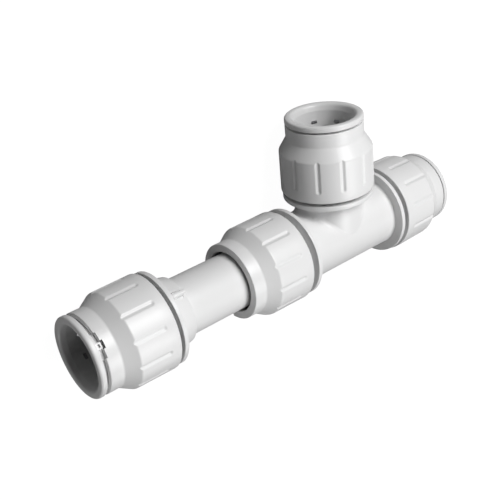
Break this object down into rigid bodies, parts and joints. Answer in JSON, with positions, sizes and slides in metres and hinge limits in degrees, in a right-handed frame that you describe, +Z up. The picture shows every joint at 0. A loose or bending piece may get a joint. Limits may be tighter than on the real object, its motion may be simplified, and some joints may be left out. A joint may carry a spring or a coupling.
{
  "type": "push-fit tee",
  "caption": "Push-fit pipe tee with screw caps, release collets and a sliding tail on one end of its run, for plain pipe.",
  "frame": {"origin": "under the middle of the part's box, at the surface that it lies on", "axes": "+X along the straight run, away from the sliding end; +Y along the branch, away from the run; +Z up, square to both"},
  "size_m": [0.1744, 0.0684, 0.0366],
  "materials": {
    "white_plastic": "satin moulded",
    "cap_plastic": "satin moulded",
    "collet_plastic": "satin moulded",
    "ring_plastic": "plain moulded",
    "seal_rubber": "smooth",
    "tooth_steel": "bright"
  },
  "bodies": {
    "tee": {"tee_body": "white_plastic", "slide_seal_o_ring": "seal_rubber", "branch_o_ring": "seal_rubber", "run_end_o_ring": "seal_rubber"},
    "slide_ring": {"slide_seal_grip_ring": "ring_plastic"},
    "slip": {"slip_body": "white_plastic", "slip_end_o_ring": "seal_rubber"},
    "slip_end_press_ring": {"slip_end_spacer": "ring_plastic"},
    "slip_end_screw_cap": {"slip_end_cap": "cap_plastic"},
    "slip_end_grip": {"slip_end_collet": "collet_plastic", "slip_end_teeth": "tooth_steel"},
    "slide_seal_press_ring": {"slide_seal_spacer": "ring_plastic"},
    "slide_seal_screw_cap": {"slide_seal_cap": "cap_plastic"},
    "branch_press_ring": {"branch_spacer": "ring_plastic"},
    "branch_screw_cap": {"branch_cap": "cap_plastic"},
    "branch_grip": {"branch_collet": "collet_plastic", "branch_teeth": "tooth_steel"},
    "run_end_press_ring": {"run_end_spacer": "ring_plastic"},
    "run_end_screw_cap": {"run_end_cap": "cap_plastic"},
    "run_end_grip": {"run_end_collet": "collet_plastic", "run_end_teeth": "tooth_steel"}
  },
  "joints": [
    {"name": "slip_turn", "type": "hinge", "parent": "tee", "child": "slide_ring", "pos_m": [0.03105, -0.0159, 0.0183], "axis": [-1, 0, 0], "continuous": true},
    {"name": "slip_slide", "type": "slide", "parent": "slide_ring", "child": "slip", "axis": [-1, 0, 0], "range_m": [-0.0245, 0.01]},
    {"name": "slip_end_cap_advance", "type": "slide", "parent": "slip", "child": "slip_end_press_ring", "axis": [1, 0, 0], "range_m": [0, 0.0015]},
    {"name": "slip_end_cap_turn", "type": "hinge", "parent": "slip_end_press_ring", "child": "slip_end_screw_cap", "pos_m": [-0.05565, -0.0159, 0.0183], "axis": [1, 0, 0], "range_deg": [0, 90]},
    {"name": "slip_end_collet_press", "type": "slide", "parent": "slip_end_screw_cap", "child": "slip_end_grip", "axis": [1, 0, 0], "range_m": [-0.0002, 0.00125]},
    {"name": "slide_seal_cap_advance", "type": "slide", "parent": "tee", "child": "slide_seal_press_ring", "axis": [1, 0, 0], "range_m": [0, 0.003]},
    {"name": "slide_seal_cap_turn", "type": "hinge", "parent": "slide_seal_press_ring", "child": "slide_seal_screw_cap", "pos_m": [0.00765, -0.0159, 0.0183], "axis": [1, 0, 0], "range_deg": [0, 180]},
    {"name": "branch_cap_advance", "type": "slide", "parent": "tee", "child": "branch_press_ring", "axis": [0, -1, 0], "range_m": [0, 0.0015]},
    {"name": "branch_cap_turn", "type": "hinge", "parent": "branch_press_ring", "child": "branch_screw_cap", "pos_m": [0.03105, 0.0033, 0.0183], "axis": [0, -1, 0], "range_deg": [0, 90]},
    {"name": "branch_collet_press", "type": "slide", "parent": "branch_screw_cap", "child": "branch_grip", "axis": [0, -1, 0], "range_m": [-0.0008, 0.00065]},
    {"name": "run_end_cap_advance", "type": "slide", "parent": "tee", "child": "run_end_press_ring", "axis": [-1, 0, 0], "range_m": [0, 0.0015]},
    {"name": "run_end_cap_turn", "type": "hinge", "parent": "run_end_press_ring", "child": "run_end_screw_cap", "pos_m": [0.05665, -0.0159, 0.0183], "axis": [-1, 0, 0], "range_deg": [0, 90]},
    {"name": "run_end_collet_press", "type": "slide", "parent": "run_end_screw_cap", "child": "run_end_grip", "axis": [-1, 0, 0], "range_m": [-0.0012, 0.00025]}
  ],
  "couplings": [
    {"joint": "slip_end_cap_advance", "follows": "slip_end_cap_turn", "m_per_rad": 0.00095493},
    {"joint": "slide_seal_cap_advance", "follows": "slide_seal_cap_turn", "m_per_rad": 0.00095493},
    {"joint": "branch_cap_advance", "follows": "branch_cap_turn", "m_per_rad": 0.00095493},
    {"joint": "run_end_cap_advance", "follows": "run_end_cap_turn", "m_per_rad": 0.00095493}
  ]
}
